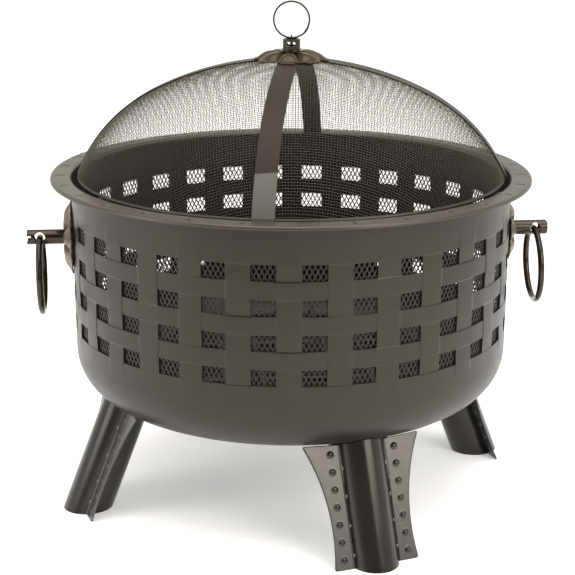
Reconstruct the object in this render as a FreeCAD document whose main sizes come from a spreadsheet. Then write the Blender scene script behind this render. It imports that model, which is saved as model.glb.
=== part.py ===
import FreeCAD, Part
import math
import operator
import os

import Sketcher
from FreeCAD import Placement, Rotation, Vector

# Fire pit: a pressed steel bowl with a basket-pattern window wall on four splayed legs, with a mesh liner,
# two ring handles, a loose log grate and a lift-off spark screen with its own lift ring.
# Millimetres, +Z up. The origin is on the floor under the middle of the bowl, and the handles lie along X.

# ---------------------------------------------------------------- driving dimensions

SIZES = [
    ("bowl_radius", 302, "outside of the bowl's wall"),
    ("bowl_gauge", 1.2, "sheet thickness of the bowl"),
    ("knuckle_radius", 68, "rounding between the wall and the bottom"),
    ("knuckle_height", 214, "height where the rounding meets the wall"),
    ("crown_radius", 1667, "radius of the shallow dished bottom"),
    ("rim_radius", 330, "outer edge of the flange"),
    ("rim_height", 455, "top of the flange"),
    ("lip_drop", 5, "height of the flange's turned-down lip"),
    ("window_columns", 30, "windows around the wall"),
    ("window_width", 31.4, "window width"),
    ("window_tall", 21.2, "window height"),
    ("window_pitch", 44.75, "distance between window rows"),
    ("window_top", 389.9, "middle of the top window row"),
    ("liner_gauge", 1.0, "thickness of the mesh liner"),
    ("liner_bottom", 235, "lower edge of the mesh liner"),
    ("liner_top", 410, "upper edge of the mesh liner"),
    ("leg_angle", 15.5, "direction of the first leg from +X, degrees"),
    ("leg_splay", 22, "lean of the legs, degrees"),
    ("foot_radius", 301.5, "leg axis at the floor, from the bowl's axis"),
    ("tube_radius", 32, "outside of the leg tube"),
    ("tube_gauge", 1.5, "wall of the leg tube"),
    ("cope_gap", 0.4, "gap between the coped tube and the bowl"),
    ("wing_offset", 10.5, "outer face of the wings, from the tube's axis"),
    ("wing_gauge", 1.6, "sheet thickness of the wings"),
    ("wing_foot", 28, "wing width at the floor"),
    ("wing_head", 51, "wing width at the top"),
    ("wing_curve", 265, "radius of the wing's hollow outer edge"),
    ("wing_inner_top", 155, "top of the wing beside the tube, along the leg"),
    ("wing_outer_top", 158.5, "top of the wing's outer corner, along the leg"),
    ("wing_corner", 3.5, "rounding of the wing's outer corners"),
    ("dimple_radius", 4, "radius of a pressed dimple"),
    ("dimple_rise", 1.8, "height of a pressed dimple"),
    ("dimple_count", 7, "dimples on each wing"),
    ("dimple_pitch", 22.5, "distance between dimples"),
    ("dimple_inset", 14, "dimple row, from the wing's inner edge"),
    ("dimple_start", 9, "lowest dimple, along the leg"),
    ("plate_reach", 226.5, "middle of the top plate, from the bowl's axis"),
    ("plate_length", 46, "top plate, towards the bowl's axis"),
    ("plate_width", 78, "top plate, across the leg"),
    ("plate_gauge", 3, "top plate thickness"),
    ("bolt_radius", 3, "shank of an M6 bolt"),
    ("bolt_spread", 17, "leg bolt, from the middle of the top plate"),
    ("handle_height", 367, "axis of the handle standoffs"),
    ("rosette_radius", 51.5, "outer edge of the pressed rosette and cap"),
    ("rosette_gauge", 1.2, "sheet thickness of the rosette and cap"),
    ("rosette_seat", 5.8, "top of the rosette's sunk middle"),
    ("rosette_shoulder", 11.6, "top of the rosette beside its sunk middle"),
    ("rosette_curve", 40, "radius of the rosette's crowned face"),
    ("rosette_inside", 11.5, "edge of the rosette's sunk middle"),
    ("rosette_brim", 17, "where the rosette's crowned face starts"),
    ("rosette_bite", 6.7, "depth of the hollows between the rosette's petals"),
    ("rosette_hollow", 12.9, "radius of the hollows between the rosette's petals"),
    ("rosette_base", 302.3, "back of the rosette, from the bowl's axis"),
    ("spacer_radius", 6.5, "spacer between rosette and standoff"),
    ("standoff_radius", 10.3, "outside of the handle standoff"),
    ("standoff_gauge", 1.7, "wall of the handle standoff"),
    ("standoff_start", 309.2, "inner end of the standoff, from the bowl's axis"),
    ("handle_reach", 365, "outer end of the standoff, from the bowl's axis"),
    ("ring_hole", 7.85, "radius of the cross hole that holds the ring"),
    ("ring_inset", 17.5, "cross hole, from the end of the standoff"),
    ("notch_width", 7.5, "notch in the end of the standoff"),
    ("notch_depth", 5.7, "depth of the notch"),
    ("ring_radius", 51.5, "middle of the handle ring's wire"),
    ("ring_wire", 4.5, "radius of the handle ring's wire"),
    ("ring_sag", 2, "ring wire below the middle of its hole"),
    ("dome_crown", 420, "radius of the middle of the screen's dome"),
    ("dome_knuckle", 227, "radius of the outer part of the dome"),
    ("dome_join", 26.8, "angle where the dome's two curves meet"),
    ("dome_top", 608.5, "top of the dome"),
    ("dome_edge", 455.6, "lower edge of the dome"),
    ("dome_gauge", 0.8, "thickness of the wire cloth"),
    ("hoop_radius", 290.7, "middle of the screen's rim wire"),
    ("hoop_wire", 2.5, "radius of the screen's rim wire"),
    ("hoop_height", 452.8, "middle of the screen's rim wire"),
    ("strap_width", 28, "width of the screen straps"),
    ("strap_gauge", 1.5, "thickness of the screen straps"),
    ("strap_angle", 77.8, "direction of the long strap from +X, degrees"),
    ("cap_base", 607.5, "underside of the cap's edge"),
    ("disc_radius", 18, "disc on the middle of the cap"),
    ("disc_gauge", 1.5, "thickness of the disc"),
    ("post_radius", 12, "outside of the lift post"),
    ("post_gauge", 2, "wall of the lift post"),
    ("post_height", 14.4, "height of the lift post"),
    ("post_slot_half", 6.65, "half the width of the lift post's cross slot"),
    ("post_slot_radius", 2.9, "rounded ends of the cross slot"),
    ("post_slot_height", 8.5, "middle of the cross slot, above the post's foot"),
    ("eye_shank", 2, "shank of the eye bolt"),
    ("eye_height", 636.9, "middle of the eye that holds the lift ring"),
    ("eye_radius", 3.3, "middle of the eye's wire"),
    ("eye_wire", 0.9, "radius of the eye's wire"),
    ("lift_radius", 24.25, "middle of the lift ring's wire"),
    ("lift_wire", 1.25, "radius of the lift ring's wire"),
    ("clip_width", 20, "width of a screen rest clip"),
    ("clip_gauge", 1.5, "thickness of a screen rest clip"),
    ("clip_tall", 24, "height of a screen rest clip"),
    ("clip_shelf", 14, "depth of a screen rest clip's shelf"),
    ("grate_radius", 200, "middle of the log grate's hoop"),
    ("grate_wire", 5, "radius of the log grate's hoop and feet"),
    ("grate_height", 186, "middle of the log grate's hoop"),
    ("bar_wire", 4, "radius of the grate bars"),
    ("bar_pitch", 50, "distance between the grate bars"),
    ("foot_clearance", 0.5, "gap under the grate's feet"),
]

LEG_COUNT = 4
CLIP_COUNT = 6
CLIP_START = 30
BAR_COUNT = 7
THROUGH = 900

doc = FreeCAD.newDocument("FirePit")
sheet = doc.addObject("Spreadsheet::Sheet", "Sizes")


class Size:
    """A number together with the sheet expression that gives it."""

    def __init__(self, number, text):
        self.number = number
        self.text = text

    def __add__(self, other):
        return joined(self, "+", other, operator.add)

    def __radd__(self, other):
        return joined(other, "+", self, operator.add)

    def __sub__(self, other):
        return joined(self, "-", other, operator.sub)

    def __rsub__(self, other):
        return joined(other, "-", self, operator.sub)

    def __mul__(self, other):
        return joined(self, "*", other, operator.mul)

    def __rmul__(self, other):
        return joined(other, "*", self, operator.mul)

    def __truediv__(self, other):
        return joined(self, "/", other, operator.truediv)

    def __neg__(self):
        return Size(-self.number, f"(0 - {self.text})")


def as_size(item):
    return item if isinstance(item, Size) else Size(float(item), f"({item})")


def joined(left, sign, right, work):
    left = as_size(left)
    right = as_size(right)
    return Size(work(left.number, right.number), f"({left.text} {sign} {right.text})")


def sine(angle):
    return Size(math.sin(math.radians(angle.number)), f"sin({angle.text})")


def cosine(angle):
    return Size(math.cos(math.radians(angle.number)), f"cos({angle.text})")


def arcsine(ratio):
    return Size(math.degrees(math.asin(ratio.number)), f"asin({ratio.text})")


def root(area):
    return Size(math.sqrt(area.number), f"sqrt({area.text})")


def fill_sheet():
    """Write the driving dimensions to the sheet and return them by alias."""
    found = {}
    for row, (alias, number, note) in enumerate(SIZES, start=1):
        sheet.set(f"A{row}", note)
        sheet.set(f"B{row}", str(number))
        sheet.setAlias(f"B{row}", alias)
        found[alias] = Size(float(number), f"Sizes.{alias}")
    doc.recompute()
    return found


S = fill_sheet()

# ---------------------------------------------------------------- modelling helpers


def bind(thing, **sizes):
    """Drive properties of an object by sheet expressions."""
    for name, size in sizes.items():
        thing.setExpression(name, as_size(size).text)


def new_body(name):
    body = doc.addObject("PartDesign::Body", name)
    body.Label = name
    return body


def origin_part(body, role):
    return next(item for item in body.Origin.OriginFeatures if item.Role == role)


def new_sketch(body, plane, name, height=0):
    """A sketch on one of the body's own planes, moved along the plane's normal by height."""
    sketch = body.newObject("Sketcher::SketchObject", f"{body.Name}_{name}")
    sketch.AttachmentSupport = (origin_part(body, plane), [""])
    sketch.MapMode = "FlatFace"
    sketch.setExpression("AttachmentOffset.Base.z", as_size(height).text)
    return sketch


def pin_point(sketch, edge, end, across, up):
    """Dimension one end of a sketch edge from the origin."""
    for kind, size in (("DistanceX", as_size(across)), ("DistanceY", as_size(up))):
        index = sketch.addConstraint(Sketcher.Constraint(kind, -1, 1, edge, end, size.number))
        sketch.setExpression(f"Constraints[{index}]", size.text)


def add_arc(sketch, here, there, radius):
    """Add the minor arc from here to there. A positive radius keeps its centre left of travel."""
    chord = there - here
    middle = (here + there) * 0.5
    left = Vector(-chord.y, chord.x, 0).normalize()
    height = math.sqrt(radius * radius - chord.Length * chord.Length / 4)
    centre = middle + left * math.copysign(height, radius)
    first, last = (here, there) if radius > 0 else (there, here)
    start = math.atan2(first.y - centre.y, first.x - centre.x)
    stop = math.atan2(last.y - centre.y, last.x - centre.x)
    circle = Part.Circle(centre, Vector(0, 0, 1), abs(radius))
    return sketch.addGeometry(Part.ArcOfCircle(circle, start, stop), False)


def draw_outline(sketch, corners):
    """Draw a closed, fully dimensioned outline, counter-clockwise.

    A corner is (across, up) where a straight edge leaves it and (across, up, radius) where an arc does.
    A positive radius is an outward bulge and a negative one is a hollow.
    """
    points = [Vector(as_size(c[0]).number, as_size(c[1]).number, 0) for c in corners]
    ends = []
    for index, corner in enumerate(corners):
        here = points[index]
        there = points[(index + 1) % len(points)]
        if len(corner) == 2:
            edge = sketch.addGeometry(Part.LineSegment(here, there), False)
            ends.append((edge, 1, 2))
            continue
        radius = corner[2]
        edge = add_arc(sketch, here, there, radius.number)
        ends.append((edge, 1, 2) if radius.number > 0 else (edge, 2, 1))
        size = radius if radius.number > 0 else -radius
        row = sketch.addConstraint(Sketcher.Constraint("Radius", edge, size.number))
        sketch.setExpression(f"Constraints[{row}]", size.text)
    for index, corner in enumerate(corners):
        edge, start, _ = ends[index]
        last_edge, _, last_end = ends[index - 1]
        sketch.addConstraint(Sketcher.Constraint("Coincident", last_edge, last_end, edge, start))
        pin_point(sketch, edge, start, corner[0], corner[1])


def draw_circle(sketch, across, up, radius):
    centre = Vector(as_size(across).number, as_size(up).number, 0)
    edge = sketch.addGeometry(Part.Circle(centre, Vector(0, 0, 1), radius.number), False)
    row = sketch.addConstraint(Sketcher.Constraint("Radius", edge, radius.number))
    sketch.setExpression(f"Constraints[{row}]", radius.text)
    pin_point(sketch, edge, 3, across, up)


def box_corners(left, right, low, high):
    return [(left, low), (right, low), (right, high), (left, high)]


def mirrored(corners):
    """The same outline across the upright axis, still counter-clockwise."""
    flipped = []
    for index in range(len(corners) - 1, -1, -1):
        across, up = corners[index][:2]
        flipped.append((-as_size(across), up) + tuple(corners[index - 1][2:]))
    return flipped


def add_feature(body, kind, name, sketch):
    feature = body.newObject(f"PartDesign::{kind}", f"{body.Name}_{name}")
    feature.Profile = sketch
    sketch.Visibility = False
    body.Tip = feature
    return feature


def revolve(body, sketch, name="turned"):
    feature = add_feature(body, "Revolution", name, sketch)
    feature.ReferenceAxis = (sketch, ["V_Axis"])
    feature.Angle = 360
    return feature


def pad(body, sketch, length, name="pad", both_ways=False, backwards=False):
    feature = add_feature(body, "Pad", name, sketch)
    feature.SideType = "Symmetric" if both_ways else "One side"
    feature.Reversed = backwards
    bind(feature, Length=length)
    return feature


def cut(body, sketch, name, length=THROUGH, both_ways=False, backwards=False):
    """A pocket, checked to take material away."""
    doc.recompute()
    before = body.Shape.Volume
    feature = add_feature(body, "Pocket", name, sketch)
    feature.SideType = "Symmetric" if both_ways else "One side"
    feature.Reversed = backwards
    bind(feature, Length=length)
    doc.recompute()
    if body.Shape.Volume > before - 1:
        raise RuntimeError(f"{body.Name}: {name} takes nothing away")
    return feature


def around(body, feature, count, name, axis="Z_Axis"):
    """Repeat a feature evenly around one of the body's axes."""
    pattern = body.newObject("PartDesign::PolarPattern", f"{body.Name}_{name}")
    pattern.Originals = [feature]
    pattern.Axis = (origin_part(body, axis), [""])
    pattern.Angle = 360
    pattern.setExpression("Occurrences", as_size(count).text)
    body.Tip = pattern
    return pattern


def copies(name, source, placements):
    """One sub-part made of separate copies of a source solid."""
    doc.recompute()
    solids = [source.Shape.copy() for _ in placements]
    for solid, place in zip(solids, placements):
        solid.Placement = place
    group = doc.addObject("Part::Feature", name)
    group.Shape = Part.makeCompound(solids)
    group.Placement = Placement()
    return group


def turn_z(angle):
    return Placement(Vector(), Rotation(Vector(0, 0, 1), angle))


def turn_y(angle):
    return Placement(Vector(), Rotation(Vector(0, 1, 0), angle))


def shift(across, along, up):
    return Placement(Vector(across, along, up), Rotation())


# ---------------------------------------------------------------- bowl

join_angle = arcsine((S["bowl_radius"] - S["knuckle_radius"]) / (S["crown_radius"] - S["knuckle_radius"]))
knuckle_middle = S["bowl_radius"] - S["knuckle_radius"]
crown_reach = S["crown_radius"] - S["knuckle_radius"]
crown_middle = S["knuckle_height"] + root(crown_reach * crown_reach - knuckle_middle * knuckle_middle)


def bowl_join(offset):
    """Where the bottom's shallow curve meets the rounding, on a surface outside the bowl by offset."""
    radius = S["knuckle_radius"] + offset
    return knuckle_middle + radius * sine(join_angle), S["knuckle_height"] - radius * cosine(join_angle)


def bowl_floor(reach, offset):
    """Height of the bowl's shallow bottom at a distance from its axis."""
    radius = S["crown_radius"] + offset
    return crown_middle - root(radius * radius - reach * reach)


def make_bowl():
    gauge = S["bowl_gauge"]
    wall = S["bowl_radius"]
    rim = S["rim_radius"]
    top = S["rim_height"]
    lip = top - S["lip_drop"]
    outer_join = bowl_join(0)
    inner_join = bowl_join(-gauge)
    bottom = crown_middle - S["crown_radius"]
    body = new_body("fire_bowl")
    profile = new_sketch(body, "XZ_Plane", "profile")
    draw_outline(profile, [
        (0, bottom, S["crown_radius"]),
        (*outer_join, S["knuckle_radius"]),
        (wall, S["knuckle_height"]),
        (wall, top - gauge),
        (rim - gauge, top - gauge),
        (rim - gauge, lip),
        (rim, lip),
        (rim, top),
        (wall - gauge, top),
        (wall - gauge, S["knuckle_height"], gauge - S["knuckle_radius"]),
        (*inner_join, gauge - S["crown_radius"]),
        (0, bottom + gauge),
    ])
    revolve(body, profile)

    windows = new_sketch(body, "XZ_Plane", "windows")
    half_width = S["window_width"] / 2
    half_tall = S["window_tall"] / 2
    for row in range(4):
        middle = S["window_top"] - S["window_pitch"] * row
        draw_outline(windows, box_corners(-half_width, half_width, middle - half_tall, middle + half_tall))
    column = cut(body, windows, "window_column")
    around(body, column, S["window_columns"], "window_columns")

    handle_holes = new_sketch(body, "YZ_Plane", "handle_holes")
    draw_circle(handle_holes, 0, S["handle_height"], S["bolt_radius"] + 0.2)
    cut(body, handle_holes, "handle_hole_pair", both_ways=True)

    leg_holes = new_sketch(body, "XY_Plane", "leg_holes")
    for side in (-1, 1):
        across = S["bolt_spread"] * side
        x = S["plate_reach"] * cosine(S["leg_angle"]) - across * sine(S["leg_angle"])
        y = S["plate_reach"] * sine(S["leg_angle"]) + across * cosine(S["leg_angle"])
        draw_circle(leg_holes, x, y, S["bolt_radius"] + 0.6)
    pair = cut(body, leg_holes, "leg_hole_pair", S["knuckle_height"], backwards=True)
    around(body, pair, LEG_COUNT, "leg_hole_pairs")
    return body


def make_liner():
    """The mesh liner, spot-welded inside the windows: a plain band that stands for expanded metal."""
    outer = S["bowl_radius"] - S["bowl_gauge"] - 0.2
    body = new_body("mesh_liner")
    profile = new_sketch(body, "XZ_Plane", "profile")
    draw_outline(profile, box_corners(outer - S["liner_gauge"], outer, S["liner_bottom"], S["liner_top"]))
    revolve(body, profile)
    holes = new_sketch(body, "YZ_Plane", "handle_holes")
    draw_circle(holes, 0, S["handle_height"], S["bolt_radius"] + 1)
    cut(body, holes, "handle_hole_pair", both_ways=True)
    return body


def make_clips():
    """Rest clips inside the wall, which hold the screen's rim wire."""
    wall = S["bowl_radius"] - S["bowl_gauge"] - 0.2
    shelf = S["hoop_height"] - S["hoop_wire"] - 0.4
    gauge = S["clip_gauge"]
    body = new_body("clip_pattern")
    profile = new_sketch(body, "XZ_Plane", "profile")
    draw_outline(profile, [
        (wall - gauge, shelf - S["clip_tall"]),
        (wall, shelf - S["clip_tall"]),
        (wall, shelf),
        (wall - S["clip_shelf"], shelf),
        (wall - S["clip_shelf"], shelf - gauge),
        (wall - gauge, shelf - gauge),
    ])
    pad(body, profile, S["clip_width"], both_ways=True)
    turns = [turn_z(CLIP_START + index * 360 / CLIP_COUNT) for index in range(CLIP_COUNT)]
    return copies("screen_clips", body, turns)


# ---------------------------------------------------------------- legs
# A leg is drawn in its own frame: its origin on the floor, Z up along the tube and X outwards.


def in_leg(reach, height):
    """A point given by its distance from the bowl's axis and its height, in the leg's frame."""
    out = reach - S["foot_radius"]
    across = out * cosine(S["leg_splay"]) + height * sine(S["leg_splay"])
    up = height * cosine(S["leg_splay"]) - out * sine(S["leg_splay"])
    return across, up


def leg_direction(index):
    return S["leg_angle"].number + index * 360 / LEG_COUNT


def leg_place(index):
    foot = shift(S["foot_radius"].number, 0, 0)
    return turn_z(leg_direction(index)) * foot * turn_y(-S["leg_splay"].number)


plate_lean = arcsine(S["plate_reach"] / S["crown_radius"])
plate_drop = 0.05


def plate_corner(along, below):
    """A point of the top plate's section: along its slope, and below the bowl's surface."""
    reach = S["plate_reach"] + along * cosine(plate_lean) + below * sine(plate_lean)
    height = bowl_floor(S["plate_reach"], 0) + along * sine(plate_lean) - below * cosine(plate_lean)
    return reach, height


def plate_place(index):
    reach, height = plate_corner(0, plate_drop)
    middle = shift(reach.number, 0, height.number)
    return turn_z(leg_direction(index)) * middle * turn_y(-plate_lean.number)


def make_leg_tube(index):
    """A round tube, cut flat at the floor, coped to the bowl and notched for its top plate."""
    body = new_body(f"leg_{index + 1}_tube")
    ring = new_sketch(body, "XY_Plane", "ring", -S["tube_radius"])
    draw_circle(ring, 0, 0, S["tube_radius"])
    draw_circle(ring, 0, 0, S["tube_radius"] - S["tube_gauge"])
    pad(body, ring, S["knuckle_height"])

    reach = S["foot_radius"]
    below = -S["rim_height"]
    foot = new_sketch(body, "XZ_Plane", "foot")
    foot_outline = box_corners(reach - 100, reach + 100, below, Size(0.0, "0"))
    draw_outline(foot, [in_leg(*corner) for corner in foot_outline])
    cut(body, foot, "floor_cut", both_ways=True)

    gap = S["cope_gap"]
    inner = S["plate_reach"] - 60
    over = S["rim_height"]
    cope = new_sketch(body, "XZ_Plane", "cope")
    draw_outline(cope, [
        (*in_leg(inner, bowl_floor(inner, gap)), S["crown_radius"] + gap),
        (*in_leg(*bowl_join(gap)), S["knuckle_radius"] + gap),
        in_leg(S["bowl_radius"] + gap, S["knuckle_height"]),
        in_leg(S["bowl_radius"] + gap, over),
        in_leg(inner, over),
    ])
    cut(body, cope, "bowl_cut", both_ways=True)

    half = S["plate_length"] / 2 + gap
    slot = new_sketch(body, "XZ_Plane", "slot")
    slot_outline = box_corners(-half, half, S["plate_gauge"] + gap, -gap)
    draw_outline(slot, [in_leg(*plate_corner(along, below)) for along, below in slot_outline])
    cut(body, slot, "plate_slot", both_ways=True)
    body.Placement = leg_place(index)
    return body


def corner_edges(shape, y, z):
    """Names of the straight edges across the sheet at one corner of its outline."""
    names = []
    for number, edge in enumerate(shape.Edges, start=1):
        middle = edge.CenterOfMass
        ends = [vertex.Point for vertex in edge.Vertexes]
        across = len(ends) == 2 and abs(ends[0].x - ends[1].x) > 0.5
        if across and abs(middle.y - y) < 0.1 and abs(middle.z - z) < 0.1:
            names.append(f"Edge{number}")
    return names


def make_wing(index, side, label):
    """A flat wing welded along the tube, hollow at its outer edge, with a row of pressed dimples."""
    back = S["wing_offset"] - S["wing_gauge"]
    inner = root(S["tube_radius"] * S["tube_radius"] - back * back)
    foot = -(back * sine(S["leg_splay"]) / cosine(S["leg_splay"]))
    outline = [
        (inner, foot),
        (inner + S["wing_foot"], foot, -S["wing_curve"]),
        (inner + S["wing_head"], S["wing_outer_top"]),
        (inner, S["wing_inner_top"]),
    ]
    body = new_body(f"leg_{index + 1}_{label}_wing")
    sketch = new_sketch(body, "YZ_Plane", "outline", S["wing_offset"])
    draw_outline(sketch, outline if side > 0 else mirrored(outline))
    pad(body, sketch, S["wing_gauge"], backwards=True)
    doc.recompute()
    sheet_metal = body.Tip
    rounded = body.newObject("PartDesign::Fillet", f"{body.Name}_corners")
    names = []
    for across, up in (outline[1][:2], outline[2][:2]):
        names += corner_edges(sheet_metal.Shape, across.number * side, up.number)
    rounded.Base = (sheet_metal, names)
    bind(rounded, Radius=S["wing_corner"])
    body.Tip = rounded

    rise = S["dimple_rise"]
    ball = (S["dimple_radius"] * S["dimple_radius"] + rise * rise) / (2 * rise)
    sunk = rise + S["wing_gauge"] / 2
    dimple = body.newObject("PartDesign::AdditiveSphere", f"{body.Name}_dimple")
    bind(dimple, Radius=ball, Angle1=arcsine((ball - sunk) / ball))
    middle = Vector((S["wing_offset"] + rise - ball).number, 0, S["dimple_start"].number)
    middle.y = side * (inner + S["dimple_inset"]).number
    dimple.Placement = Placement(middle, Rotation(Vector(0, 1, 0), 90))
    row = body.newObject("PartDesign::LinearPattern", f"{body.Name}_dimples")
    row.Originals = [dimple]
    row.Direction = (origin_part(body, "Z_Axis"), [""])
    bind(row, Length=S["dimple_pitch"] * (S["dimple_count"] - 1), Occurrences=S["dimple_count"])
    body.Tip = row
    body.Placement = leg_place(index)
    return body


def make_top_plate(index):
    """A flat plate through the tube's mouth, bolted against the bowl's bottom."""
    half_length = S["plate_length"] / 2
    half_width = S["plate_width"] / 2
    body = new_body(f"leg_{index + 1}_top_plate")
    sketch = new_sketch(body, "XY_Plane", "outline")
    draw_outline(sketch, box_corners(-half_length, half_length, -half_width, half_width))
    for side in (-1, 1):
        draw_circle(sketch, 0, S["bolt_spread"] * side, S["bolt_radius"] + 0.3)
    pad(body, sketch, S["plate_gauge"], backwards=True)
    body.Placement = plate_place(index)
    return body


# ---------------------------------------------------------------- fasteners


def make_bolt(name, length):
    """A domed bolt: its head stands on the origin and its shank points down."""
    shank = S["bolt_radius"]
    body = new_body(name)
    sketch = new_sketch(body, "XZ_Plane", "profile")
    draw_outline(sketch, [
        (0, -length),
        (shank, -length),
        (shank, 0),
        (2 * shank, 0, 2.5 * shank),
        (0, shank),
    ])
    revolve(body, sketch)
    return body


def make_washer(name, outer, bore, gauge):
    """A washer that stands on the origin."""
    body = new_body(name)
    sketch = new_sketch(body, "XY_Plane", "outline")
    draw_circle(sketch, 0, 0, outer)
    draw_circle(sketch, 0, 0, bore)
    pad(body, sketch, gauge)
    return body


def make_nut(name, bore, tall):
    """A hexagon nut that hangs from the origin."""
    prism = doc.addObject("Part::Prism", f"{name}_hexagon")
    bind(prism, Circumradius=bore * 1.9, Height=tall)
    hole = doc.addObject("Part::Cylinder", f"{name}_bore")
    bind(hole, Radius=bore, Height=tall)
    nut = doc.addObject("Part::Cut", name)
    nut.Base = prism
    nut.Tool = hole
    nut.Placement = shift(0, 0, -tall.number)
    return nut


WASHER_GAUGE = 1.2
FIT = 0.05


def make_leg_fasteners():
    gauge = S["bowl_gauge"].number
    washer_foot = plate_drop + gauge + 6 * FIT
    head_foot = washer_foot + WASHER_GAUGE + FIT
    shank = head_foot + S["plate_gauge"].number + 7
    bolt = make_bolt("leg_bolt_pattern", as_size(shank))
    bore = S["bolt_radius"] + FIT
    washer = make_washer("leg_washer_pattern", 2.6 * S["bolt_radius"], bore, as_size(WASHER_GAUGE))
    nut = make_nut("leg_nut_pattern", bore, 1.6 * S["bolt_radius"])
    spots = []
    for index in range(LEG_COUNT):
        for side in (-1, 1):
            spots.append(plate_place(index) * shift(0, side * S["bolt_spread"].number, 0))
    under = -S["plate_gauge"].number - FIT - 1.6 * S["bolt_radius"].number
    return [
        copies("leg_bolts", bolt, [spot * shift(0, 0, head_foot) for spot in spots]),
        copies("leg_washers", washer, [spot * shift(0, 0, washer_foot) for spot in spots]),
        copies("leg_nuts", nut, [spot * shift(0, 0, under) for spot in spots]),
    ]


# ---------------------------------------------------------------- handles


def make_rosette(name):
    """A pressed flower-shaped plate with a sunk middle, lying on the origin with its face up."""
    gauge = S["rosette_gauge"]
    bore = S["bolt_radius"] + 0.2
    seat = S["rosette_seat"]
    shoulder = S["rosette_shoulder"]
    curve = S["rosette_curve"]
    inside = S["rosette_inside"]
    brim = S["rosette_brim"]
    body = new_body(name)
    profile = new_sketch(body, "XZ_Plane", "profile")
    draw_outline(profile, [
        (bore, seat - gauge),
        (inside + gauge, seat - gauge),
        (brim + gauge, shoulder - gauge, gauge - curve),
        (S["rosette_radius"] - gauge, 0),
        (S["rosette_radius"], gauge, curve),
        (brim, shoulder),
        (inside, seat),
        (bore, seat),
    ])
    revolve(body, profile)
    bite = new_sketch(body, "XY_Plane", "bite")
    bite_angle = as_size(22.5)
    bite_reach = S["rosette_radius"] - S["rosette_bite"] + S["rosette_hollow"]
    draw_circle(bite, bite_reach * cosine(bite_angle), bite_reach * sine(bite_angle), S["rosette_hollow"])
    notch = cut(body, bite, "notch", S["rosette_shoulder"], backwards=True)
    around(body, notch, 8, "notches")
    return body


def make_standoff(name, notch_plane):
    """A tube with a closed inner end, a cross hole for the ring and a notch through its open end."""
    outer = S["standoff_radius"]
    bore = outer - S["standoff_gauge"]
    length = S["handle_reach"] - S["standoff_start"]
    rounding = S["standoff_gauge"] * 0.6
    body = new_body(name)
    profile = new_sketch(body, "XZ_Plane", "profile")
    draw_outline(profile, [
        (S["bolt_radius"] + FIT, 0),
        (outer - rounding, 0, rounding),
        (outer, rounding),
        (outer, length - rounding, rounding),
        (outer - rounding, length),
        (bore, length),
        (bore, 2 * S["standoff_gauge"]),
        (S["bolt_radius"] + FIT, 2 * S["standoff_gauge"]),
    ])
    revolve(body, profile)
    hole = new_sketch(body, "XZ_Plane", "hole")
    draw_circle(hole, 0, length - S["ring_inset"], S["ring_hole"])
    cut(body, hole, "cross_hole", both_ways=True)
    half = S["notch_width"] / 2
    notch = new_sketch(body, notch_plane, "notch")
    draw_outline(notch, box_corners(-half, half, length - S["notch_depth"], length + 1))
    cut(body, notch, "end_notch", both_ways=True)
    return body


def outwards(side):
    """A frame at the handle's height whose Z points outwards along X."""
    half_turn = 0 if side > 0 else 180
    return turn_z(half_turn) * shift(0, 0, S["handle_height"].number) * turn_y(90)


def make_handle_ring(name, side):
    ring = doc.addObject("Part::Torus", name)
    bind(ring, Radius1=S["ring_radius"], Radius2=S["ring_wire"])
    reach = S["handle_reach"] - S["ring_inset"]
    height = S["handle_height"] - S["ring_sag"] - S["ring_radius"]
    ring.Placement = shift(side * reach.number, 0, height.number) * turn_y(90)
    return ring


def make_handles():
    made = []
    for label, side, notch_plane in (("left", -1, "XZ_Plane"), ("right", 1, "YZ_Plane")):
        rosette = make_rosette(f"{label}_rosette")
        rosette.Placement = outwards(side) * shift(0, 0, S["rosette_base"].number)
        standoff = make_standoff(f"{label}_standoff", notch_plane)
        standoff.Placement = outwards(side) * shift(0, 0, S["standoff_start"].number)
        made += [rosette, standoff, make_handle_ring(f"{label}_ring", side)]
    return made


def make_handle_fasteners():
    liner_face = S["bowl_radius"] - S["bowl_gauge"] - S["liner_gauge"] - 0.4
    washer_foot = liner_face.number - WASHER_GAUGE
    head_foot = washer_foot - FIT
    shank = S["standoff_start"].number + 4 * S["standoff_gauge"].number - head_foot
    spacer_start = (S["rosette_base"] + S["rosette_seat"]).number + FIT
    spacer_length = S["standoff_start"] - S["rosette_base"] - S["rosette_seat"] - 2 * FIT
    bolt = make_bolt("handle_bolt_pattern", as_size(shank))
    bore = S["bolt_radius"] + FIT
    washer = make_washer("handle_washer_pattern", 2.6 * S["bolt_radius"], bore, as_size(WASHER_GAUGE))
    spacer = make_washer("handle_spacer_pattern", S["spacer_radius"], bore, spacer_length)
    sides = (-1, 1)
    head_down = shift(0, 0, head_foot) * turn_y(180)
    return [
        copies("handle_bolts", bolt, [outwards(side) * head_down for side in sides]),
        copies("handle_washers", washer, [outwards(side) * shift(0, 0, washer_foot) for side in sides]),
        copies("handle_spacers", spacer, [outwards(side) * shift(0, 0, spacer_start) for side in sides]),
    ]


# ---------------------------------------------------------------- spark screen

dome_middle = S["dome_top"] - S["dome_crown"]
bend_reach = (S["dome_crown"] - S["dome_knuckle"]) * sine(S["dome_join"])
bend_height = dome_middle + (S["dome_crown"] - S["dome_knuckle"]) * cosine(S["dome_join"])


def dome_join_point(offset):
    """Where the dome's two curves meet, on a surface outside the cloth by offset."""
    radius = S["dome_crown"] + offset
    return radius * sine(S["dome_join"]), dome_middle + radius * cosine(S["dome_join"])


def dome_edge_point(offset):
    radius = S["dome_knuckle"] + offset
    rise = S["dome_edge"] - bend_height
    return bend_reach + root(radius * radius - rise * rise), S["dome_edge"]


def dome_height(reach, offset):
    """Height of the dome's middle part at a distance from its axis."""
    radius = S["dome_crown"] + offset
    return dome_middle + root(radius * radius - reach * reach)


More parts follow.
